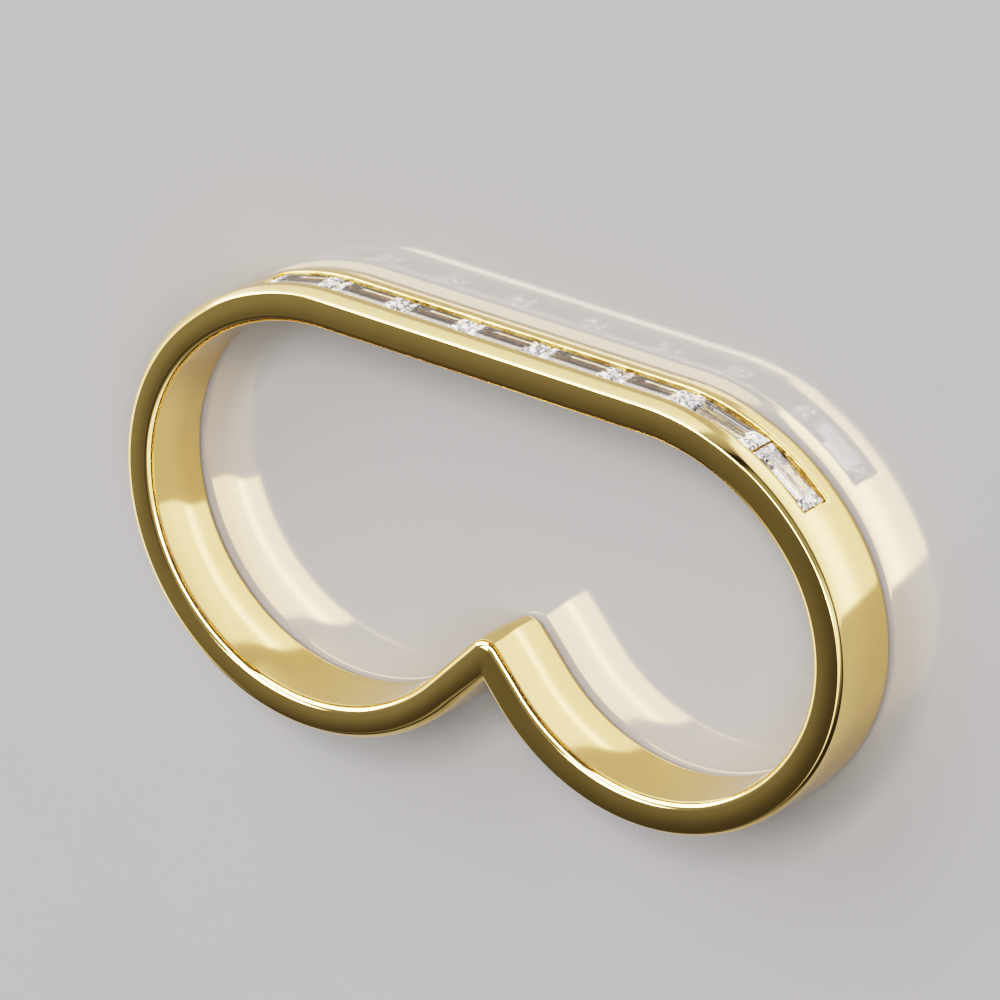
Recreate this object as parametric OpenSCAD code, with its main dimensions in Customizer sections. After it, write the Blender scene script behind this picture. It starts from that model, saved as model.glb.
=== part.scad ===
// Two-finger ring with channel-set baguette stones.
// The ring lies on its side: X runs along the straight bar, Y points from the two lower lobes to the bar,
// and Z is the width of the metal. The origin is the middle of the underside of the bounding box.

/* [Outline] */
// Straight bar from the middle to the start of the larger round end
left_bar = 9.25; // [8.5:0.05:10]
// Radius of the upper shoulder of the larger round end
left_shoulder_r = 11; // [10.5:0.1:11.5]
// Turn of the larger upper shoulder in degrees
left_shoulder_turn = 47; // [44:1:50]
// Radius of the side of the larger round end
left_side_r = 9.8; // [9.4:0.1:10.2]
// Turn of the larger side in degrees
left_side_turn = 45; // [44:1:50]
// Straight bar from the middle to the start of the smaller round end
right_bar = 7.65; // [7:0.05:8.5]
// Radius of the upper shoulder of the smaller round end
right_shoulder_r = 11.2; // [10.7:0.1:11.7]
// Turn of the smaller upper shoulder in degrees
right_shoulder_turn = 50; // [47:1:53]
// Radius of the side of the smaller round end
right_side_r = 9; // [8.6:0.1:9.4]
// Turn of the smaller side in degrees
right_side_turn = 62.5; // [60:0.5:65]
// Turn from the bar to the straight flanks that rise between the fingers
flank_turn = 227.5; // [225:0.5:230]
// Drop from the bar to the notch between the lower lobes
notch_drop = 15.25; // [14.8:0.05:15.8]

/* [Metal] */
// Width of the metal, which is the height of the lying ring
band_w = 3.75; // [3.4:0.05:4.2]
// Thickness of the metal from the outer face to the finger side
band_t = 1.55; // [1.5:0.05:1.8]
// Width of the bevel between the outer face and each flat side
bevel_w = 0.68; // [0.5:0.01:0.7]
// Fall of the bevel below the outer face
bevel_fall = 0.12; // [0.08:0.01:0.2]
// Rounding between each bevel and its flat side
outer_round = 0.1; // [0.06:0.01:0.15]
// Rounding of the finger-side edges
inner_round = 0.34; // [0.2:0.01:0.4]
// Rise of the finger side at its middle, which makes it comfortable
inner_crown = 0.06; // [0.02:0.01:0.1]
// Radius of the blunt tip between the fingers
tip_r = 0.85; // [0.7:0.05:1]

/* [Stones] */
// Start of the first baguette, measured from the middle toward the larger end
stone_start = 13.3; // [13:0.05:13.6]
// Gap between neighbouring baguettes, and between them and the metal
stone_gap = 0.05; // [0.03:0.01:0.08]
// Width of the channel
channel_w = 1.6; // [1.5:0.05:1.7]
// Depth of the channel below the outer face
channel_depth = 1.05; // [1.03:0.01:1.1]
// Depth of the girdles below the outer face
girdle_depth = 0.24; // [0.22:0.01:0.26]

/* [Hidden] */

EDGE_STEPS = 5;
CROWN_STEPS = 4;
OVERCUT = 1;

// Neighbouring stretches overlap by this turn, and every other one is this much slimmer all round
LAP = 0.3;
SLIM = 0.002;

// Share of the way from a stone's chord to the curve of the girdles by which it is raised
LIFT = 0.65;

// Lengths of the baguettes along their girdles, from the larger end
LENGTHS = [3.4, 3.65, 3.5, 3.85, 4, 3.5, 3.95, 3.4];

// Columns: inset from the girdle, height above the girdle's upper edge
FACETS = [
    [0.30, 0.18],
    [0.12, 0.10],
    [0.00, 0.00],
    [0.00, -0.05],
    [0.20, -0.29],
    [0.44, -0.51],
    [0.66, -0.67]
];

// Columns: depth below the outer face, half width of the channel less its full half width
SEAT = [
    [-OVERCUT, 0],
    [girdle_depth + 0.10, 0],
    [girdle_depth + 0.34, -0.20],
    [channel_depth, -0.20]
];

// Unit vector turned clockwise from +Y
function aim(turn) = [sin(turn), cos(turn)];

// Radius of the lobe that makes the flank run through the notch
function lobe_r(side_centre, side_r, turn) =
    let (away = aim(flank_turn), k = aim(turn) * away)
    (([0, -notch_drop] - side_centre) * away - side_r * k) / (1 - k);

// One half of the outline: bar length, then radius, turn and centre of each arc
function half_outline(bar, shoulder_r, shoulder_turn, side_r, side_turn) =
    let (
        shoulder_c = [bar, -shoulder_r],
        side_c = shoulder_c + (shoulder_r - side_r) * aim(shoulder_turn),
        turned = shoulder_turn + side_turn,
        low_r = lobe_r(side_c, side_r, turned),
        low_c = side_c + (side_r - low_r) * aim(turned)
    )
    [bar, [shoulder_r, 0, shoulder_turn, shoulder_c],
        [side_r, shoulder_turn, side_turn, side_c],
        [low_r, turned, flank_turn - turned, low_c]];

LEFT = half_outline(left_bar, left_shoulder_r, left_shoulder_turn, left_side_r, left_side_turn);
RIGHT = half_outline(right_bar, right_shoulder_r, right_shoulder_turn, right_side_r, right_side_turn);

// Outermost point of a half, and its lowest point
function reach_x(half) = half[2][3].x + half[2][0];
function reach_y(half) = half[3][3].y - half[3][0];

ORIGIN = [(reach_x(RIGHT) - reach_x(LEFT)) / 2, min(reach_y(LEFT), reach_y(RIGHT)) / 2];

// Points of a rounded corner about its centre
function corner(centre, r, from) =
    [for (i = [0:EDGE_STEPS]) let (a = from + 90 * i / EDGE_STEPS) centre + r * [cos(a), sin(a)]];

// Section of the metal: x is 0 at the outer face and negative toward the finger, y is the width
function band_section(slim = 0) =
    let (flat = band_w - 2 * inner_round, drop = bevel_fall + outer_round, outer_r = outer_round - slim,
         inner_r = inner_round - slim)
    concat(
        corner([-drop, outer_round], outer_r, -90),
        [[-slim, bevel_w], [-slim, band_w - bevel_w]],
        corner([-drop, band_w - outer_round], outer_r, 0),
        corner([inner_round - band_t, band_w - inner_round], inner_r, 90),
        [for (i = [1:CROWN_STEPS - 1])
            let (f = i / CROWN_STEPS)
            [slim - band_t - inner_crown * sin(180 * f), band_w - inner_round - flat * f]],
        corner([inner_round - band_t, inner_round], inner_r, 180)
    );

// Part of the section that turns about the tip's centre, x is the distance from that centre
function tip_section() =
    let (axis_x = tip_r - band_t)
    concat(
        [[0, band_w - SLIM]],
        [for (p = band_section(SLIM)) if (p.x < axis_x) [axis_x - p.x, p.y]],
        [[0, SLIM]]
    );

// Section of the channel, in the same axes as the metal
function channel_section(slim = 0) =
    let (half = channel_w / 2 - slim)
    concat(
        [for (s = SEAT) [slim - s[0], band_w / 2 - half - s[1]]],
        [for (i = [len(SEAT) - 1:-1:0]) [slim - SEAT[i][0], band_w / 2 + half + SEAT[i][1]]]
    );

// A straight length of a section from the origin along +X, with its outer face toward +Y
module run(points, length) {
    rotate([90, 0, 90]) linear_extrude(length) polygon(points);
}

// An arc of a section, from one clockwise turn to another
module bend(points, arc, from, to) {
    translate([arc[3].x, arc[3].y, 0])
        rotate([0, 0, 90 - to])
            rotate_extrude(angle = to - from)
                translate([arc[0], 0]) polygon(points);
}

// One round end of the band, from the bar to the tip between the fingers
module round_end(half) {
    start = half[3][3] + half[3][0] * aim(flank_turn);
    along = [cos(flank_turn), -sin(flank_turn)];
    for (i = [1:3]) {
        lap = i == 2 ? 0 : LAP;
        bend(band_section(i == 2 ? 0 : SLIM), half[i], half[i][1] - lap, half[i][1] + half[i][2] + lap);
    }
    translate([start.x, start.y, 0]) rotate([0, 0, -flank_turn])
        run(band_section(), ([0, tip_y()] - start) * along);
}

// The tip's centre
function tip_y() = (tip_r - band_t) / cos(flank_turn) - notch_drop;

// The blunt tip on the finger side, between the two flanks
module tip() {
    translate([0, tip_y(), 0]) rotate_extrude(angle = 180) polygon(tip_section());
}

// One end of the channel, from the bar to a length along the girdles
module channel_end(half, reach) {
    bend(channel_section(), half[1], -LAP, arc_turn(half, reach));
}

// Turn on the shoulder that a length along the girdles reaches
function arc_turn(half, reach) = (reach - half[0]) / (half[1][0] - girdle_depth) * 180 / PI;

// Point at the girdles' depth, a length along from the middle of the bar
function girdle_point(half, reach) =
    reach < half[0] ? [reach, -girdle_depth]
        : half[1][3] + (half[1][0] - girdle_depth) * aim(arc_turn(half, reach));

// Length of the row before a baguette
function length_before(count) = count == 0 ? 0 : LENGTHS[count - 1] + length_before(count - 1);

// Point of the girdle line, from the middle toward the smaller end
function stone_end(s) =
    s < 0 ? let (p = girdle_point(LEFT, -s)) [-p.x, p.y] : girdle_point(RIGHT, s);

// Outline of a step cut, symmetric about x = 0, y is the height above the girdle
function cut_outline(half_size) =
    concat(
        [for (f = FACETS) [half_size - f[0], f[1]]],
        [for (i = [len(FACETS) - 1:-1:0]) [FACETS[i][0] - half_size, FACETS[i][1]]]
    );

// A step-cut baguette with its girdle's upper edge at y = 0, table toward +Y, length along X
module step_cut(length, width) {
    intersection() {
        linear_extrude(width, center = true) polygon(cut_outline(length / 2));
        rotate([0, 90, 0]) linear_extrude(length, center = true) polygon(cut_outline(width / 2));
    }
}

// One solid band, with its channel cut along the outer face
module band() {
    color("goldenrod") translate([-ORIGIN.x, -ORIGIN.y, 0]) difference() {
        union() {
            translate([-left_bar, 0, 0]) run(band_section(), left_bar + right_bar);
            round_end(RIGHT);
            mirror([1, 0, 0]) round_end(LEFT);
            tip();
        }
        union() {
            translate([-left_bar, 0, 0]) run(channel_section(SLIM), left_bar + right_bar);
            channel_end(RIGHT, length_before(len(LENGTHS)) - stone_start + stone_gap / 2);
            mirror([1, 0, 0]) channel_end(LEFT, stone_start + stone_gap / 2);
        }
    }
}

// A baguette, seated in the channel with its ends on the girdle line
module baguette(number) {
    length = LENGTHS[number - 1];
    start = length_before(number - 1) - stone_start;
    near = stone_end(start);
    far = stone_end(start + length);
    chord = (near + far) / 2;
    middle = chord + LIFT * (stone_end(start + length / 2) - chord) - ORIGIN;
    slope = atan2(far.y - near.y, far.x - near.x);
    color("lightcyan") translate([middle.x, middle.y, band_w / 2])
        rotate([0, 0, slope]) step_cut(length - 2 * stone_gap, channel_w - 2 * stone_gap);
}

band();
baguette(1);  // baguette_1
baguette(2);  // baguette_2
baguette(3);  // baguette_3
baguette(4);  // baguette_4
baguette(5);  // baguette_5
baguette(6);  // baguette_6
baguette(7);  // baguette_7
baguette(8);  // baguette_8
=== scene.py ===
"""Two-finger gold ring with channel-set baguettes, lying on its side on a pale studio floor."""
from math import atan2, ceil, cos, hypot, pi, radians, sin, tan

import bmesh
import bpy
from bpy.props import FloatProperty, FloatVectorProperty, PointerProperty
from mathutils import Matrix, Vector, noise


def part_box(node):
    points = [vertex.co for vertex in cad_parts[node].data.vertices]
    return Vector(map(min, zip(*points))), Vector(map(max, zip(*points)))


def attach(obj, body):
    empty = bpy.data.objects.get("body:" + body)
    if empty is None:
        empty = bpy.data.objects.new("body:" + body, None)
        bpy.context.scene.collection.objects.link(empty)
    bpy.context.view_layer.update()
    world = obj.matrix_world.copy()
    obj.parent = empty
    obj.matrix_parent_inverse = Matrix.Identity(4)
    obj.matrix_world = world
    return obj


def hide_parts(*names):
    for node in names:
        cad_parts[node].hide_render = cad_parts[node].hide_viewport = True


bl_info = {
    "name": "Two-Finger Baguette Ring",
    "version": (1, 0, 0),
    "blender": (4, 5, 0),
    "location": "View3D > Sidebar > Ring",
    "description": "Builds a polished two-finger ring with a channel of step-cut stones, and its studio",
    "category": "Object",
}

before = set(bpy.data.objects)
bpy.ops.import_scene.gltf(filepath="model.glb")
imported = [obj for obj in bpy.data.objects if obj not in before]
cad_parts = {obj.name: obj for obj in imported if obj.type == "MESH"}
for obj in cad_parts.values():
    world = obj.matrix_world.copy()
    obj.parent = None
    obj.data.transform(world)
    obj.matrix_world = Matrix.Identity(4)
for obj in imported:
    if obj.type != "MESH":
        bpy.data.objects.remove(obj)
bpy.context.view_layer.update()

MM = 0.001
BAND_LOW, BAND_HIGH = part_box("band")
BAND_WIDTH = BAND_HIGH.z - BAND_LOW.z
STONES = sorted(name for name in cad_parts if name.startswith("baguette"))


def length(name, description, default_mm):
    """A size property in metres, given in millimetres."""
    return FloatProperty(name=name, description=description, default=default_mm * MM,
                         unit="LENGTH", precision=5)


def turn(name, description, default_deg):
    """An angle property, given in degrees."""
    return FloatProperty(name=name, description=description, default=radians(default_deg), subtype="ANGLE")


def colour(name, description, default):
    """A colour property."""
    return FloatVectorProperty(name=name, description=description, default=default,
                               subtype="COLOR", size=3, min=0, max=1)


class RingOutline(bpy.types.PropertyGroup):
    """Sizes of the band's outer outline"""
    left_bar: length("Larger Side of Bar", "Straight bar from its middle to the larger round end", 9.25)
    left_shoulder_r: length("Larger Shoulder Radius", "Radius of the larger upper shoulder", 11)
    left_shoulder_turn: turn("Larger Shoulder Turn", "Turn of the larger upper shoulder", 47)
    left_side_r: length("Larger Side Radius", "Radius of the side of the larger round end", 9.8)
    left_side_turn: turn("Larger Side Turn", "Turn of the side of the larger round end", 45)
    right_bar: length("Smaller Side of Bar", "Straight bar from its middle to the smaller round end", 7.65)
    right_shoulder_r: length("Smaller Shoulder Radius", "Radius of the smaller upper shoulder", 11.2)
    right_shoulder_turn: turn("Smaller Shoulder Turn", "Turn of the smaller upper shoulder", 50)
    right_side_r: length("Smaller Side Radius", "Radius of the side of the smaller round end", 9)
    right_side_turn: turn("Smaller Side Turn", "Turn of the side of the smaller round end", 62.5)
    flank_turn: turn("Flank Turn", "Turn from the bar to the flanks that rise between the fingers", 227.5)
    notch_drop: length("Notch Drop", "Drop from the bar to the notch between the lobes", 15.25)
    tip_r: length("Tip Radius", "Radius of the blunt tip between the fingers", 0.85)


class RingSection(bpy.types.PropertyGroup):
    """Sizes of the metal's section and of its channel"""
    band_t: length("Thickness", "Metal from the outer face to the finger side", 1.55)
    bevel_w: length("Bevel Width", "Width of the bevel between the outer face and each flat side", 0.68)
    bevel_fall: length("Bevel Fall", "Fall of the bevel below the outer face", 0.12)
    outer_round: length("Outer Rounding", "Rounding between each bevel and its flat side", 0.1)
    inner_round: length("Inner Rounding", "Rounding of the finger-side edges", 0.34)
    side_crown: turn("Side Crown", "Slope of the hand-polished flat sides where they meet the edges", 3.5)
    outer_crown: turn("Outer Crown", "Slope of the outer face where it meets the edges", 2.5)
    inner_crown: turn("Inner Crown", "Slope of the finger side where it meets the edges", 3.2)
    channel_w: length("Channel Width", "Width of the channel", 1.6)
    channel_depth: length("Channel Depth", "Depth of the channel below the outer face", 1.05)
    girdle_depth: length("Girdle Depth", "Depth of the stones' girdles below the outer face", 0.24)
    rim_round: length("Rim Rounding", "Rounding of the channel's rims", 0.05)
    left_reach: length("Channel Toward Larger End", "Channel along the girdles from the middle", 13.325)
    right_reach: length("Channel Toward Smaller End", "Channel along the girdles from the middle", 15.975)


class RingColours(bpy.types.PropertyGroup):
    """Colours of the finishes"""
    gold: colour("Gold", "Polished yellow gold", (0.94, 0.665, 0.275))
    # Gold darkened as painted shade for the channel under the stones and its rims
    gold_channel_shade: colour("Channel Shade Gold", "Yellow gold in the cut channel", (0.72, 0.47, 0.15))
    # Painted white glint on the ends of the stones
    stone: colour("Stone", "Bright ends of the stones", (0.98, 0.985, 0.99))
    # Painted reflection: dark brown for the gold and shade seen below the middles of the stones
    stone_painted_reflection: colour("Stone Middle", "Middle of the stones along the bar", (0.20, 0.15, 0.08))
    floor: colour("Floor", "Studio floor", (0.133, 0.1355, 0.1355))


class StudioView(bpy.types.PropertyGroup):
    """Where the camera stands"""
    azimuth: turn("Azimuth", "Direction of the camera round the ring, from +X toward +Y", 37.295)
    elevation: turn("Elevation", "Height of the camera above the floor", 47.929)
    roll: turn("Roll", "Turn of the picture about the line of sight", -117.006)
    distance: length("Distance", "Camera to the point looked at", 330)
    lens: FloatProperty(name="Focal Length", description="Focal length in millimetres on a 36 mm sensor",
                        default=277.995)
    target: FloatVectorProperty(name="Point Looked At", description="Point in the picture's middle",
                                default=(-0.000259, 0.002492, 0.001433), subtype="XYZ", unit="LENGTH")


# Section of the metal: depths run from the outer face to the finger, z from the middle of the width

# The functions take the section's sizes as size and the outline's sizes as path

# Steps round the soft edge of the outer face, across the bevel and round the edge of the flat side
BEVEL_STEPS = (3, 5, 8)
# Steps across a flat side and across half the finger side
FACE_STEPS = 12
# Steps round a finger-side edge
CORNER_STEPS = 18
# Steps across the rail between the channel and the bevel
RAIL_STEPS = 4
# Steps across the outer face where it has no channel
STRIP_STEPS = 6
# Steps round the channel's rim and down its wall
RIM_STEPS = 3
WALL_STEPS = 6
# Rounding between the outer face and the bevel
SOFT_R = 0.12 * MM
# Half the turn across the crowned bevel
BEVEL_CROWN = radians(2.5)
# Softness of the ridge along the finger side, as a share of that side's half width
RIDGE = 0.45
# Share by which a face's steps are drawn toward its edges
EDGE_PULL = 0.7
# The sloped seats: drop from the girdles to their tops, width and fall
SEAT_DROP = 0.10 * MM
SEAT_W = 0.20 * MM
SEAT_FALL = 0.24 * MM
# Half width of the middle strip of the channel's floor, as a share of the floor's half width
FLOOR_STRIP = 0.4


def ridge(f):
    """Share of the finger side's fall at a share of the way from its middle to its edge."""
    return (hypot(f, RIDGE) - RIDGE) / (hypot(1, RIDGE) - RIDGE)


def spaced(f):
    """Even steps drawn toward both ends, so that narrow strips stand beside the edges."""
    return f + (0.5 - 0.5 * cos(pi * f) - f) * EDGE_PULL


def crowned_section(size, width, edge):
    """Corners and crowned faces of the section's upper half, from the outer face to the finger side.

    The edge is the bevel's width, its fall and the rounding between it and the flat side. A crowned face
    falls as far as its slope at the edges asks. The bevel takes the width that its two rounded edges leave.
    """
    bevel_w, bevel_fall, outer_round = edge
    half = width / 2
    edge_z = half - bevel_w
    face_fall = tan(size.outer_crown) * edge_z / 2
    inner_c = Vector((size.band_t - size.inner_round * cos(size.inner_crown), 0))
    side_end = inner_c.x - size.inner_round * sin(size.side_crown)
    side_fall = tan(size.side_crown) * (side_end - face_fall - bevel_fall - outer_round) / 4
    inner_c.y = half - side_fall - size.inner_round * cos(size.side_crown)
    finger_z = inner_c.y + size.inner_round * sin(size.inner_crown)
    finger_fall = tan(size.inner_crown) * finger_z * hypot(1, RIDGE) * (hypot(1, RIDGE) - RIDGE)
    slope = atan2(bevel_fall, bevel_w - outer_round)
    stops = (size.outer_crown, slope - BEVEL_CROWN, slope + BEVEL_CROWN, pi / 2 - size.side_crown)
    reach = bevel_w - side_fall
    reach -= SOFT_R * (sin(stops[1]) - sin(stops[0])) + outer_round * (sin(stops[3]) - sin(stops[2]))
    radii = (SOFT_R, reach / (sin(stops[2]) - sin(stops[1])), outer_round)
    corner = [Vector((face_fall, edge_z))]
    for radius, first, last, steps in zip(radii, stops, stops[1:], BEVEL_STEPS):
        start = corner[-1]
        for i in range(1, steps + 1):
            a = first + (last - first) * i / steps
            corner.append(start + radius * Vector((cos(first) - cos(a), sin(a) - sin(first))))
    return {"edge_z": edge_z, "face_fall": face_fall, "corner": corner,
            "side": (corner[-1].x, side_end, half, side_fall), "inner_c": inner_c,
            "finger": (finger_z, finger_fall)}


def outer_depth(shape, z):
    """Depth of the gently crowned outer face at a height from its middle."""
    return shape["face_fall"] * (z / shape["edge_z"]) ** 2


def side_rows(first, last, level, fall):
    """A crowned flat side from one depth to another, level at its middle and lower by fall at its ends."""
    middle = (first + last) / 2
    reach = (last - first) / 2
    rows = []
    for i in range(1, FACE_STEPS):
        d = first + (last - first) * spaced(i / FACE_STEPS)
        rows.append(("m", d, level - fall * ((d - middle) / reach) ** 2))
    return rows


def shell_rows(size, shape):
    """The section from the channel's upper rim round the finger side to its lower rim.

    Each row is (zone, depth, z): zone o hangs from the outer face, i from the finger side, m lies between.
    """
    rim_z = size.channel_w / 2 + size.rim_round
    rows = []
    for i in range(RAIL_STEPS):
        z = rim_z + (shape["edge_z"] - rim_z) * i / RAIL_STEPS
        rows.append(("o", outer_depth(shape, z), z))
    rows += [("o", p.x, p.y) for p in shape["corner"]]
    rows += side_rows(*shape["side"])
    inner_c = shape["inner_c"]
    first, last = size.side_crown, pi / 2 - size.inner_crown
    for i in range(CORNER_STEPS + 1):
        a = first + (last - first) * i / CORNER_STEPS
        rows.append(("i", inner_c.x + size.inner_round * sin(a), inner_c.y + size.inner_round * cos(a)))
    start_d = rows[-1][1]
    finger_z, finger_fall = shape["finger"]
    for i in range(1, FACE_STEPS + 1):
        z = finger_z * (1 - spaced(i / (2 * FACE_STEPS)) * 2)
        rows.append(("i", start_d + finger_fall * (1 - ridge(z / finger_z)), z))
    return rows + [(zone, d, -z) for zone, d, z in reversed(rows[:-1])]


def channel_rows(size, shape):
    """The channel from its lower rim, down one wall, over the seats and floor, and up the other wall."""
    half_w = size.channel_w / 2
    floor_half = half_w - SEAT_W
    rim = outer_depth(shape, half_w + size.rim_round)
    rows = []
    for i in range(1, RIM_STEPS + 1):
        a = pi / 2 * i / RIM_STEPS
        rows.append((rim + size.rim_round * (1 - cos(a)), half_w + size.rim_round * (1 - sin(a))))
    wall_top = rows[-1][0]
    seat_top = size.girdle_depth + SEAT_DROP
    seat_foot = seat_top + SEAT_FALL
    rows += [(wall_top + (seat_top - wall_top) * i / WALL_STEPS, half_w) for i in range(1, WALL_STEPS + 1)]
    rows += [(seat_top + SEAT_FALL / 2, half_w - SEAT_W / 2), (seat_foot, floor_half)]
    rows += [((seat_foot + size.channel_depth) / 2, floor_half), (size.channel_depth, floor_half)]
    rows += [(size.channel_depth, floor_half * FLOOR_STRIP)]
    lower = [("o", d, -z) for d, z in rows]
    return lower + [("o", d, z) for d, z in reversed(rows)]


def strip_rows(size, shape):
    """The plain outer face between the places of the rims."""
    rim_z = size.channel_w / 2 + size.rim_round
    places = [rim_z * (2 * i / STRIP_STEPS - 1) for i in range(1, STRIP_STEPS)]
    return [("o", outer_depth(shape, z), z) for z in places]


# Stations along the outline

# Longest steps round an arc and along the bar
ARC_STEP = radians(1.0)
BAR_STEP = 0.6 * MM
# Steps along a flank and round the tip
FLANK_STEPS = 6
TIP_STEPS = 16
# Sizes of one half of the outline, without the name of their side
HALF_SIZES = ("bar", "shoulder_r", "shoulder_turn", "side_r", "side_turn")
# Bevel width, bevel fall and rounding of the outer edges where the hand polish has worn them otherwise
EDGES = {"left": (0.42 * MM, 0.06 * MM, 0.34 * MM), "right": (0.25 * MM, 0.12 * MM, 0.10 * MM),
         "tip": (0.30 * MM, 0.10 * MM, 0.15 * MM)}
# Lengths from the bar's middle between which the edges change
CHANGES = {"left": (9.5 * MM, 17 * MM), "right": (8.6 * MM, 14 * MM)}
# Lists of points that each station's section holds
PARTS = ("shell", "strip", "channel", "outline")


def aim(angle):
    """Unit vector turned clockwise from +Y."""
    return Vector((sin(angle), cos(angle)))


def half_outline(bar, shoulder_r, shoulder_turn, side_r, side_turn, flank_turn, notch_drop):
    """Bar length and the radius, first turn, turn and centre of each arc of one half.

    The lobe's arc runs on from the side's arc and ends on the straight flank through the notch.
    """
    shoulder_c = Vector((bar, -shoulder_r))
    side_c = shoulder_c + (shoulder_r - side_r) * aim(shoulder_turn)
    turned = shoulder_turn + side_turn
    away = aim(flank_turn)
    share = aim(turned).dot(away)
    to_flank = (Vector((0, -notch_drop)) - side_c).dot(away)
    lobe_r = (to_flank - side_r * share) / (1 - share)
    lobe_c = side_c + (side_r - lobe_r) * aim(turned)
    arcs = [(shoulder_r, 0, shoulder_turn, shoulder_c), (side_r, shoulder_turn, side_turn, side_c),
            (lobe_r, turned, flank_turn - turned, lobe_c)]
    return {"bar": bar, "arcs": arcs}


def plain_station(point, normal, size):
    """A station with its section square to the outline.

    A station holds its points on the outer face and on the finger side, the ways in which the section's rows
    hang from them, and how far the outer rows are stretched.
    """
    return {"outer": point, "inner": point - normal * size.band_t, "out_dir": normal, "in_dir": normal,
            "stretch": 1.0}


def tip_station(angle, path, size):
    """A station from the sharp notch to a point of the blunt tip."""
    centre = Vector((0, (path.tip_r - size.band_t) / cos(path.flank_turn) - path.notch_drop))
    away = Vector((cos(angle), sin(angle)))
    notch = Vector((0, -path.notch_drop))
    return {"outer": notch, "inner": centre + away * path.tip_r, "out_dir": Vector((0, -1)), "in_dir": -away,
            "stretch": -1 / cos(path.flank_turn)}


def arc_stops(angle):
    """Even turns from an arc's first step to its end."""
    steps = ceil(angle / ARC_STEP)
    return [angle * i / steps for i in range(1, steps + 1)]


def half_stations(half, reach, size):
    """Stations of one half from the bar's middle to the flank, each with its length along the outline."""
    stations = []
    steps = ceil(half["bar"] / BAR_STEP)
    for i in range(steps + 1):
        x = half["bar"] * i / steps
        station = plain_station(Vector((x, 0)), Vector((0, 1)), size)
        stations.append(dict(station, along=x, in_channel=True))
    along = half["bar"]
    shoulder_r = half["arcs"][0][0]
    channel_end = (reach - half["bar"]) / (shoulder_r - size.girdle_depth)
    for number, (radius, first, angle, centre) in enumerate(half["arcs"]):
        on_shoulder = number == 0
        stops = arc_stops(angle)
        if on_shoulder:
            stops = [a for a in stops if abs(a - channel_end) > ARC_STEP / 3]
            stops = sorted(stops + [channel_end])
        for a in stops:
            normal = aim(first + a)
            station = plain_station(centre + normal * radius, normal, size)
            in_channel = on_shoulder and a <= channel_end
            stations.append(dict(station, along=along + radius * a, in_channel=in_channel))
        along += radius * angle
    return stations, along


def edge_at(size, side, along):
    """Sizes of the outer edge at a length from the bar's middle."""
    first, last = CHANGES[side]
    f = min(max((along - first) / (last - first), 0), 1)
    f = f * f * (3 - 2 * f)
    bar = (size.bevel_w, size.bevel_fall, size.outer_round)
    return [a + (b - a) * f for a, b in zip(bar, EDGES[side])]


def place(rows, station, size):
    """Points of a section's rows at a station, in the outline's plane and across the width."""
    corner_d = size.bevel_fall + size.outer_round
    finger_d = size.band_t - size.inner_round
    hang = station["out_dir"] * station["stretch"]
    near = station["outer"] - hang * corner_d
    far = station["inner"] + station["in_dir"] * (size.band_t - finger_d)
    points = []
    for zone, d, z in rows:
        if zone == "o":
            p = station["outer"] - hang * d
        elif zone == "i":
            p = station["inner"] + station["in_dir"] * (size.band_t - d)
        else:
            p = near.lerp(far, (d - corner_d) / (finger_d - corner_d))
        points.append(Vector((p.x, p.y, z)))
    return points


def section(station, size, width, edge):
    """A station's points: its shell, plain strip and channel, and its point on the outline."""
    shape = crowned_section(size, width, edge)
    points = {"outline": [Vector((*station["outer"], 0))]}
    for part, rows in (("shell", shell_rows), ("strip", strip_rows), ("channel", channel_rows)):
        points[part] = place(rows(size, shape), station, size)
    return points


def half_sections(side, reach, path, size, width):
    """Every station's points in one half, from the bar's middle to the foot of the tip."""
    sizes = [getattr(path, side + "_" + name) for name in HALF_SIZES]
    stations, along = half_stations(half_outline(*sizes, path.flank_turn, path.notch_drop), reach, size)
    made = [dict(section(station, size, width, edge_at(size, side, station["along"])), along=station["along"],
                 in_channel=station["in_channel"]) for station in stations]
    lean = path.flank_turn - pi
    first = made[-1]
    last = section(tip_station(pi / 2 - lean, path, size), size, width, EDGES["tip"])
    flank = (stations[-1]["outer"] - Vector((0, -path.notch_drop))).length
    for i in range(1, FLANK_STEPS + 1):
        f = i / FLANK_STEPS
        row = {key: [a.lerp(b, f) for a, b in zip(first[key], last[key])] for key in PARTS}
        made.append(dict(row, along=along + flank * f, in_channel=False))
    return made


def mirrored(points):
    """The same section on the other half."""
    return [Vector((-p.x, p.y, p.z)) for p in points]


def ring_sections(path, size, width):
    """Every station's points, clockwise from the bar's middle."""
    right = half_sections("right", size.right_reach, path, size, width)
    left = half_sections("left", size.left_reach, path, size, width)
    lean = path.flank_turn - pi
    tip = []
    for i in range(1, TIP_STEPS):
        f = i / TIP_STEPS
        row = section(tip_station(pi / 2 - lean + 2 * lean * f, path, size), size, width, EDGES["tip"])
        along = right[-1]["along"] * (1 - f) + left[-1]["along"] * f
        tip.append(dict(row, along=along, in_channel=False))
    for row in left:
        row.update({key: mirrored(row[key]) for key in PARTS})
    return right + tip + list(reversed(left[1:]))


def outline_middle(sections):
    """Middle of the whole outline, which the frame's origin lies under."""
    xs = [row["outline"][0].x for row in sections]
    ys = [row["outline"][0].y for row in sections]
    return Vector(((min(xs) + max(xs)) / 2, (min(ys) + max(ys)) / 2))


# Mesh of the band

# Reach of the waviness of the channel's walls, scale of its pattern and the pattern's shift from row to row
WALL_WANDER = 0.012 * MM
WANDER_SCALE = 2600
WANDER_SHIFT = 0.37
# Points nearer than this are joined, and faces narrower than this are dropped
JOIN = 0.0004 * MM
NARROW = 0.0002 * MM
# Edges that turn more than this stay sharp
SHARP_TURN = radians(38)


def new_piece(name, data):
    """An object for a mesh or a camera, in the scene."""
    obj = bpy.data.objects.new(name, data)
    bpy.context.scene.collection.objects.link(obj)
    return obj


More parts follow.
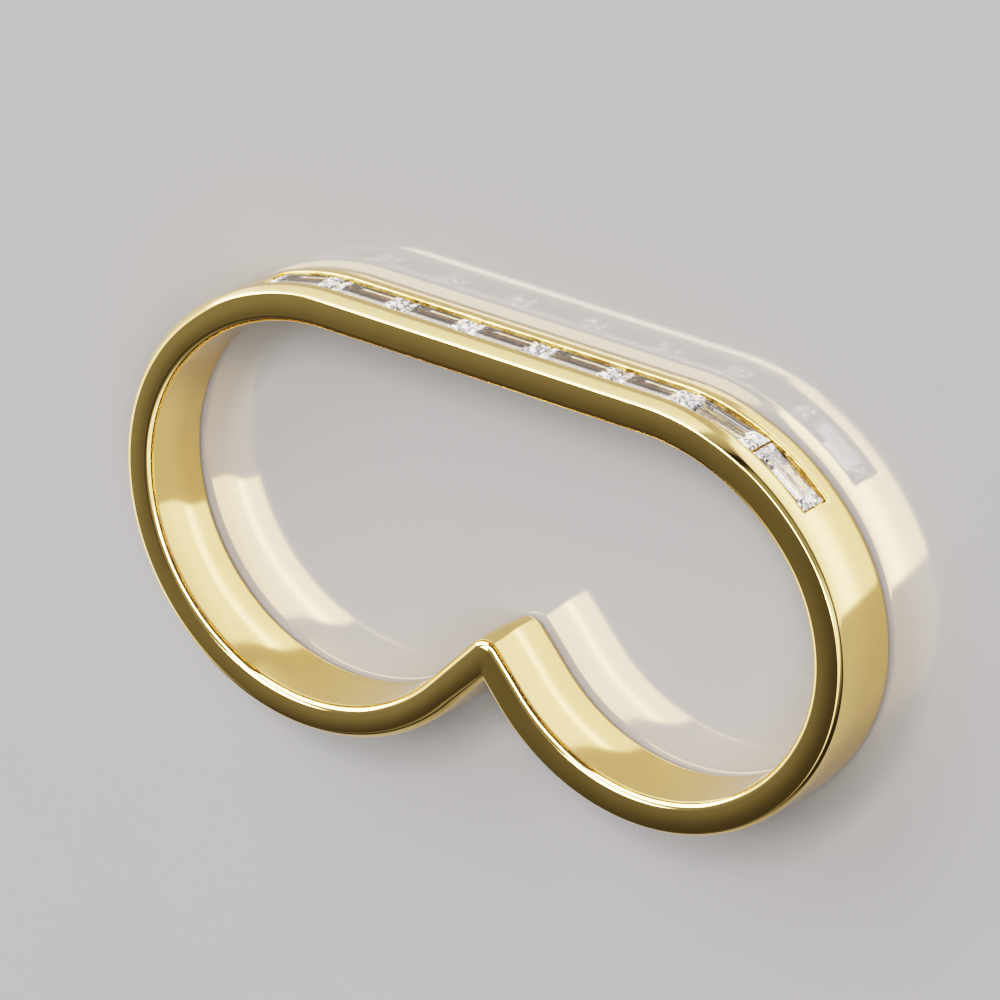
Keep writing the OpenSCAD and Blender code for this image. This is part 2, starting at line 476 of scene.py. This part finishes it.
def add_row(bm, points, along, lift, wavy=False):
    """Vertices for a section's points, which note their lengths along and across the band as its grain."""
    grain = bm.verts.layers.float_vector["grain"]
    verts = []
    across = 0.0
    for j, p in enumerate(points):
        if j:
            across += (p - points[j - 1]).length
        at = p + lift
        if wavy and RIM_STEPS <= j < len(points) - RIM_STEPS:
            push = noise.noise(at * WANDER_SCALE + Vector((0, 0, j * WANDER_SHIFT)))
            at = at + Vector((0, 0, WALL_WANDER * push * (1 if p.z > 0 else -1)))
        vert = bm.verts.new(at)
        vert[grain] = (along, across, 0)
        verts.append(vert)
    return verts


def sweep(bm, rows, closed):
    """Quads between neighbouring rows of vertices."""
    count = len(rows)
    for i in range(count if closed else count - 1):
        a, b = rows[i], rows[(i + 1) % count]
        for j in range(len(a) - 1):
            bm.faces.new((a[j], b[j], b[j + 1], a[j + 1]))


def band_mesh(path, size):
    """The band's mesh: a closed shell, a plain outer strip, the channel and its two end walls."""
    sections = ring_sections(path, size, BAND_WIDTH)
    count = len(sections)
    middle = outline_middle(sections)
    lift = Vector((-middle.x, -middle.y, BAND_WIDTH / 2))
    bm = bmesh.new()
    bm.verts.layers.float_vector.new("grain")
    shells = [add_row(bm, row["shell"], row["along"], lift) for row in sections]
    sweep(bm, shells, True)

    in_channel = [row["in_channel"] for row in sections]
    last_cut = in_channel.index(False) - 1
    first_cut = next(i for i in reversed(range(count)) if not in_channel[i]) + 1
    plain = list(range(last_cut, first_cut + 1))
    cut = list(range(first_cut, count)) + list(range(last_cut + 1))
    strips = {}
    for i in plain:
        verts = add_row(bm, sections[i]["strip"], sections[i]["along"], lift)
        strips[i] = [shells[i][-1]] + verts + [shells[i][0]]
    sweep(bm, [strips[i] for i in plain], False)

    polished = set(bm.faces)
    walls = {}
    for i in cut:
        verts = add_row(bm, sections[i]["channel"], sections[i]["along"], lift, True)
        walls[i] = [shells[i][-1]] + verts + [shells[i][0]]
    sweep(bm, [walls[i] for i in cut], False)
    for i, flip in ((last_cut, False), (first_cut, True)):
        end_wall = strips[i] + walls[i][-2:0:-1]
        bm.faces.new(end_wall if flip else end_wall[::-1])
    # The channel, its rims and its end walls take the second finish, which holds painted shade
    for face in set(bm.faces) - polished:
        face.material_index = 1

    bmesh.ops.remove_doubles(bm, verts=bm.verts[:], dist=JOIN)
    bmesh.ops.dissolve_degenerate(bm, dist=NARROW, edges=bm.edges[:])
    bmesh.ops.recalc_face_normals(bm, faces=bm.faces[:])
    mesh = bpy.data.meshes.new("gold_band")
    bm.to_mesh(mesh)
    bm.free()
    mesh.shade_smooth()
    mesh.set_sharp_from_angle(angle=SHARP_TURN)
    return mesh


# Finishes

# Range that holds most values of a noise
NOISE_RANGE = (0.3, 0.7)


class Tree:
    """Short calls for a node tree, which each finish and the studio name t."""

    def __init__(self, tree):
        """Start with no nodes."""
        self.tree = tree
        tree.nodes.clear()

    def add(self, kind, inputs=None, **settings):
        """A node with its settings, its inputs set to values or linked to sockets."""
        node = self.tree.nodes.new(kind)
        for key, value in settings.items():
            setattr(node, key, value)
        for key, value in (inputs or {}).items():
            if isinstance(value, bpy.types.NodeSocket):
                self.tree.links.new(value, node.inputs[key])
            else:
                node.inputs[key].default_value = value
        return node

    def math(self, operation, first, second=0.0):
        """The result of a math node."""
        return self.add("ShaderNodeMath", {0: first, 1: second}, operation=operation).outputs[0]

    def vector(self, operation, inputs):
        """The vector that a vector math node gives."""
        return self.add("ShaderNodeVectorMath", inputs, operation=operation).outputs[0]

    def dot(self, vector, way):
        """The dot product of a vector and a fixed direction."""
        return self.add("ShaderNodeVectorMath", {0: vector, 1: way}, operation="DOT_PRODUCT").outputs["Value"]

    def axis(self, vector, axis):
        """One axis of a vector."""
        return self.add("ShaderNodeSeparateXYZ", {0: vector}).outputs[axis]

    def stretched(self, vector, scale, rotation=(0, 0, 0)):
        """A vector scaled by axis and turned."""
        inputs = {"Vector": vector, "Scale": scale, "Rotation": rotation}
        return self.add("ShaderNodeMapping", inputs).outputs["Vector"]

    def ramp(self, factor, low, high, out_low=0.0, out_high=1.0):
        """A value carried smoothly from one range to another."""
        node = self.add("ShaderNodeMapRange", {"Value": factor, "From Min": low, "From Max": high,
                                               "To Min": out_low, "To Max": out_high},
                        interpolation_type="SMOOTHSTEP")
        return node.outputs["Result"]

    def noise(self, vector, scale=1.0, detail=2.0, roughness=0.5):
        """A noise value."""
        node = self.add("ShaderNodeTexNoise", {"Vector": vector, "Scale": scale, "Detail": detail,
                                               "Roughness": roughness})
        return node.outputs["Fac"]

    def mix_value(self, factor, first, second):
        """A value between two."""
        return self.add("ShaderNodeMix", {0: factor, 2: first, 3: second}, data_type="FLOAT").outputs[0]

    def mix(self, factor, first, second):
        """A colour between two."""
        return self.add("ShaderNodeMix", {0: factor, 6: first, 7: second}, data_type="RGBA").outputs[2]

    def bump(self, height, strength, distance, normal=None):
        """A bumped normal."""
        inputs = {"Height": height, "Strength": strength, "Distance": distance}
        if normal is not None:
            inputs["Normal"] = normal
        return self.add("ShaderNodeBump", inputs).outputs["Normal"]

    def surface(self, inputs):
        """The surface of the material, a principled shader with its inputs."""
        shader = self.add("ShaderNodeBsdfPrincipled", inputs)
        self.add("ShaderNodeOutputMaterial", {"Surface": shader.outputs[0]})


def material(name):
    """A new material and its empty tree."""
    mat = bpy.data.materials.new(name)
    mat.use_nodes = True
    return mat, Tree(mat.node_tree)


def rgba(rgb, factor=1.0):
    """A colour with full alpha, made lighter or darker."""
    return (rgb[0] * factor, rgb[1] * factor, rgb[2] * factor, 1.0)


def polished_gold(colours):
    """Hand-polished yellow gold: soft waviness, fine polishing lines along the band and a few hairlines."""
    # Scales of the lines and the hairlines along the band and across it, and the hairlines' slight turn
    line_scale = (900, 26000, 1)
    hair_scale = (160, 5200, 1)
    hair_turn = (0, 0, 0.02)
    # Values of the noise between which a hairline begins, and what it adds to the roughness
    hair_range = (0.70, 0.74)
    hair_rough = 0.03
    polish_range = (0.045, 0.075)
    cloud_dim = 0.965
    wave_height = 0.012 * MM
    line_height = 0.0006 * MM

    mat, t = material("polished_gold")
    grain = t.add("ShaderNodeAttribute", attribute_name="grain").outputs["Vector"]
    spot = t.add("ShaderNodeTexCoord").outputs["Object"]
    lines = t.noise(t.stretched(grain, line_scale), detail=3.0, roughness=0.6)
    hair = t.noise(t.stretched(grain, hair_scale, hair_turn), detail=0.0)
    wave = t.noise(spot, scale=420.0, detail=1.5, roughness=0.4)
    cloud = t.noise(spot, scale=900.0, detail=3.0)
    tone = t.mix(t.ramp(cloud, *NOISE_RANGE), rgba(colours.gold), rgba(colours.gold, cloud_dim))
    scratched = t.math("MULTIPLY", t.ramp(hair, *hair_range), hair_rough)
    roughness = t.math("ADD", t.ramp(lines, *NOISE_RANGE, *polish_range), scratched)
    waved = t.bump(wave, strength=0.12, distance=wave_height)
    fine = t.bump(lines, strength=0.10, distance=line_height, normal=waved)
    t.surface({"Base Color": tone, "Metallic": 1.0, "Roughness": roughness, "Normal": fine})
    return mat


def cut_gold(colours):
    """The channel's rims, walls, seats, floor and end walls, left with the marks of the cutter, their gold
    darkened as painted shade in the channel and darker still as painted shade in the marks' hollows.
    """
    # Scale of the marks, which run along the channel
    mark_scale = (1400, 1400, 5200)
    # Values of the noise from the bottom of a mark to its top
    mark_range = (0.35, 0.65)
    mark_height = 0.03 * MM
    # Painted shade: further darkening of the channel gold in the marks' hollows
    hollow_painted_shade = 0.7
    rough_range = (0.16, 0.34)

    mat, t = material("cut_gold")
    spot = t.add("ShaderNodeTexCoord").outputs["Object"]
    marks = t.noise(t.stretched(spot, mark_scale), detail=4.0, roughness=0.65)
    # Painted shade: the marks' hollows take the dimmed channel gold, their tops the polished gold
    tone = t.mix(t.ramp(marks, *mark_range), rgba(colours.gold_channel_shade, hollow_painted_shade), rgba(colours.gold))
    roughness = t.ramp(marks, *NOISE_RANGE, *rough_range)
    marked = t.bump(marks, strength=0.8, distance=mark_height)
    t.surface({"Base Color": tone, "Metallic": 1.0, "Roughness": roughness, "Normal": marked})
    return mat


def clear_stone(colours):
    """Step-cut diamond with painted light: a painted white glint on its broken ends, and a long middle
    painted dark brown as a painted reflection of the gold and shade below it, painted lighter over the last
    diamonds of the row.
    """
    # Shares of a diamond's length from its middle between which its ends take the painted white glint, and
    # how ragged that is
    end_range = (0.36, 0.42)
    end_ragged = 0.10
    # Scale of the small facets at the ends, how far they lean, and the painted white glint of the clearest
    # and of the whitest facets
    facet_scale = 6500.0
    facet_lean = 0.45
    facet_range = (0.2, 0.9)
    painted_glint_range = (0.05, 0.62)
    # Places along the bar between which the middles turn from the painted dark reflection to painted light
    # and then more painted light, and how light
    painted_light_range = (7.8 * MM, 8.8 * MM)
    painted_lighter_range = (11.2 * MM, 12.2 * MM)
    light, lighter = 0.6, 0.9
    diamond_ior = 2.417

    mat, t = material("clear_stone")
    coords = t.add("ShaderNodeTexCoord").outputs
    spot = coords["Object"]
    off = t.math("ABSOLUTE", t.math("SUBTRACT", t.axis(coords["Generated"], "X"), 0.5))
    ragged = t.math("MULTIPLY", t.noise(spot, scale=3000.0, detail=1.0), end_ragged)
    ends = t.ramp(t.math("ADD", off, ragged), *end_range)
    facets = t.add("ShaderNodeTexVoronoi", {"Vector": spot, "Scale": facet_scale}).outputs["Color"]
    centred = t.vector("SUBTRACT", {0: facets, 1: (0.5, 0.5, 0.5)})
    push = t.vector("SCALE", {0: centred, "Scale": t.math("MULTIPLY", ends, facet_lean)})
    leaned = t.vector("ADD", {0: t.add("ShaderNodeNewGeometry").outputs["Normal"], 1: push})
    bar_x = t.axis(spot, "X")
    # Painted reflection and painted light: dark middles for the gold and shade below, lighter over the last
    # diamonds
    far = t.mix(t.ramp(bar_x, *painted_lighter_range), rgba(colours.stone, light), rgba(colours.stone, lighter))
    middle = t.mix(t.ramp(bar_x, *painted_light_range), rgba(colours.stone_painted_reflection), far)
    tone = t.mix(ends, middle, rgba(colours.stone))
    # Painted glint: the whitest facets at the ends turn partly opaque white
    painted_glint = t.ramp(t.axis(facets, "X"), *facet_range, *painted_glint_range)
    clear = t.math("SUBTRACT", 1.0, t.math("MULTIPLY", ends, painted_glint))
    t.surface({"Base Color": tone, "Roughness": 0.0, "IOR": diamond_ior, "Transmission Weight": clear,
               "Normal": t.vector("NORMALIZE", {0: leaned})})
    return mat


def pale_floor(colours):
    """Polished pale studio board with a very faint mottle."""
    mottle_dim = 0.985
    board_rough = 0.09
    board_gloss = 0.6

    mat, t = material("pale_floor")
    mottle = t.noise(t.add("ShaderNodeTexCoord").outputs["Object"], scale=60.0, detail=3.0)
    tone = t.mix(t.ramp(mottle, *NOISE_RANGE), rgba(colours.floor), rgba(colours.floor, mottle_dim))
    t.surface({"Base Color": tone, "Roughness": board_rough, "Specular IOR Level": board_gloss})
    return mat


class RING_OT_band(bpy.types.Operator):
    """Build the polished band with its channel"""
    bl_idname = "ring.band"
    bl_label = "Build Band"

    def execute(self, context):
        """Sweep the section along the outline and give it its two finishes."""
        scene = context.scene
        obj = new_piece("gold_band", band_mesh(scene.ring_outline, scene.ring_section))
        obj.data.materials.append(polished_gold(scene.ring_colours))
        # The channel's finish, darkened as painted shade
        obj.data.materials.append(cut_gold(scene.ring_colours))
        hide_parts("band")
        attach(obj, "root")
        return {"FINISHED"}


class RING_OT_stones(bpy.types.Operator):
    """Finish the row of step-cut stones"""
    bl_idname = "ring.stones"
    bl_label = "Finish Stones"

    def execute(self, context):
        """Give every diamond its clear body with painted glints and a painted reflection, and flat facets."""
        if not STONES:
            raise RuntimeError("the frame has no stones")
        mat = clear_stone(context.scene.ring_colours)
        for name in STONES:
            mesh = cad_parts[name].data
            mesh.shade_flat()
            mesh.materials.clear()
            mesh.materials.append(mat)
        return {"FINISHED"}


# Studio: heights are angles above the horizon, and all angles are in degrees

# Half the length of the floor's board, in metres
FLOOR_HALF = 0.6
# Width of the camera's sensor in millimetres, and the nearest and farthest distance that it shows in metres
SENSOR_WIDTH = 36
CLIP_START = 0.01
CLIP_END = 10
# Heights between which the tent's light grows, its levels below and above them, and its tint
TENT_HEIGHTS = (12, 24)
TENT_LEVELS = (0.04, 0.32)
TENT_TINT = (0.97, 1.0, 0.93)
# Middle of the dim patch that the ring's upper face mirrors, and how far its rim and its core lie from there
DIM_WAY = (-0.533, -0.406, 0.742)
DIM_RIM = 46
DIM_CORE = 16
# Way across the dim patch, the places on it between which the light grows, and its shares of the tent's light
SLOPE_WAY = (-0.707, 0.707, 0)
SLOPE_PLACES = (-0.04, 0.20)
SLOPE_SHARES = (0.22, 0.72)
# For each degree above this height a bank moves round by its lean, and its ends reach out by its flare
LEAN_HEIGHT = 48
# Banks of soft light: azimuth, half width, lean, flare, lowest, highest, soft edge, side fade, level and tint
BANKS = {
    "key_bank": (51, 50.5, 1.5, 1.0, 40, 56, 2, 1.0, 20.0, (1.0, 0.92, 0.92)),
    "key_core": (51, 48, 1.5, 1.0, 47.4, 48.6, 2.0, 3, 34.0, (1.0, 0.92, 0.92)),
    "edge_bank": (-28, 30, 0, 0, 24, 60, 4, 32, 1.7, (1.0, 0.97, 0.93)),
    "side_bank": (135, 32, 0, 0, 8, 39, 2.5, 6, 10.0, (1.0, 0.96, 0.93)),
    "far_bank": (158, 27, 0, 0, 56, 70, 3, 8, 20.0, (1.0, 0.95, 0.93)),
    "left_bank": (190, 24, 0, 0, 4, 30, 5, 14, 1.8, (1.0, 0.96, 0.93)),
}


def bank(t, way, height, azimuth, half_width, lean, flare, lowest, highest, edge, fade, level, tint):
    """A curved bank of soft light, as a background shader."""
    turned = radians(azimuth)
    ahead = t.dot(way, (cos(turned), sin(turned), 0))
    aside = t.dot(way, (-sin(turned), cos(turned), 0))
    above = t.math("SUBTRACT", height, radians(LEAN_HEIGHT))
    leant = t.math("MULTIPLY", above, lean)
    off = t.math("ABSOLUTE", t.math("SUBTRACT", t.math("ARCTAN2", aside, ahead), leant))
    off = t.math("SUBTRACT", off, t.math("MULTIPLY", above, flare))
    wide = t.ramp(off, radians(half_width), radians(half_width + fade), 1.0, 0.0)
    low = t.ramp(height, radians(lowest - edge), radians(lowest))
    high = t.ramp(height, radians(highest), radians(highest + edge), 1.0, 0.0)
    strength = t.math("MULTIPLY", t.math("MULTIPLY", wide, t.math("MULTIPLY", low, high)), level)
    return t.add("ShaderNodeBackground", {"Color": rgba(tint), "Strength": strength}).outputs[0]


def studio_world():
    """Low tent of light with curved banks, dim where the ring's upper face looks, dark along the horizon."""
    world = bpy.data.worlds.new("studio_tent")
    bpy.context.scene.world = world
    world.use_nodes = True
    t = Tree(world.node_tree)
    way = t.add("ShaderNodeTexCoord").outputs["Generated"]
    height = t.math("ARCSINE", t.axis(way, "Z"))
    tent = t.ramp(height, *(radians(stop) for stop in TENT_HEIGHTS), *TENT_LEVELS)
    share = t.ramp(t.dot(way, SLOPE_WAY), *SLOPE_PLACES, *SLOPE_SHARES)
    dim = t.ramp(t.dot(way, DIM_WAY), cos(radians(DIM_RIM)), cos(radians(DIM_CORE)))
    level = t.math("MULTIPLY", tent, t.mix_value(dim, 1.0, share))
    shader = t.add("ShaderNodeBackground", {"Color": rgba(TENT_TINT), "Strength": level}).outputs[0]
    for form in BANKS.values():
        shader = t.add("ShaderNodeAddShader", {0: shader, 1: bank(t, way, height, *form)}).outputs[0]
    t.add("ShaderNodeOutputWorld", {"Surface": shader})


def view_matrix(view):
    """Camera placed by azimuth, elevation, roll, distance and the point looked at."""
    level = cos(view.elevation)
    back = Vector((cos(view.azimuth) * level, sin(view.azimuth) * level, sin(view.elevation)))
    right = Vector((0, 0, 1)).cross(back).normalized()
    up = back.cross(right)
    turned = cos(view.roll) * right + sin(view.roll) * up
    upright = back.cross(turned)
    place_at = Vector(view.target) + back * view.distance
    return Matrix.Translation(place_at) @ Matrix((turned, upright, back)).transposed().to_4x4()


def add_camera(view):
    """The scene's camera, without depth of field or shift."""
    data = bpy.data.cameras.new("camera")
    data.lens = view.lens
    data.sensor_width = SENSOR_WIDTH
    data.clip_start = CLIP_START
    data.clip_end = CLIP_END
    camera = new_piece("camera", data)
    camera.matrix_world = view_matrix(view)
    bpy.context.scene.camera = camera


def add_floor(colours):
    """The studio's floor, a square board under the ring."""
    mesh = bpy.data.meshes.new("floor")
    h = FLOOR_HALF
    mesh.from_pydata([(-h, -h, 0), (h, -h, 0), (h, h, 0), (-h, h, 0)], [], [(0, 1, 2, 3)])
    floor = new_piece("floor", mesh)
    floor.data.materials.append(pale_floor(colours))


class RING_OT_stage(bpy.types.Operator):
    """Set the floor, the lights and the camera"""
    bl_idname = "ring.stage"
    bl_label = "Set Stage"

    def execute(self, context):
        """Make the studio round the ring."""
        scene = context.scene
        add_floor(scene.ring_colours)
        studio_world()
        scene.view_settings.view_transform = "Filmic"
        scene.view_settings.look = "High Contrast"
        add_camera(scene.studio_view)
        return {"FINISHED"}


STEPS = ("ring.band", "ring.stones", "ring.stage")
GROUPS = {"ring_outline": RingOutline, "ring_section": RingSection, "ring_colours": RingColours,
          "studio_view": StudioView}


class RING_PT_panel(bpy.types.Panel):
    """Sizes, colours and steps of the ring"""
    bl_label = "Two-Finger Ring"
    bl_idname = "RING_PT_panel"
    bl_space_type = "VIEW_3D"
    bl_region_type = "UI"
    bl_category = "Ring"

    def draw(self, context):
        """List the groups of properties and the operators."""
        for name, group in GROUPS.items():
            box = self.layout.box()
            for key in group.__annotations__:
                box.prop(getattr(context.scene, name), key)
        for step in STEPS:
            self.layout.operator(step)


CLASSES = tuple(GROUPS.values()) + (RING_OT_band, RING_OT_stones, RING_OT_stage, RING_PT_panel)


def register():
    """Register the classes and hang the property groups on the scene."""
    for cls in CLASSES:
        bpy.utils.register_class(cls)
    for name, group in GROUPS.items():
        setattr(bpy.types.Scene, name, PointerProperty(type=group))


def unregister():
    """Take the property groups and the classes away again."""
    for name in GROUPS:
        delattr(bpy.types.Scene, name)
    for cls in reversed(CLASSES):
        bpy.utils.unregister_class(cls)


def main():
    """Build the ring and its stage."""
    register()
    bpy.ops.ring.band()
    bpy.ops.ring.stones()
    bpy.ops.ring.stage()


if __name__ == "__main__":
    main()
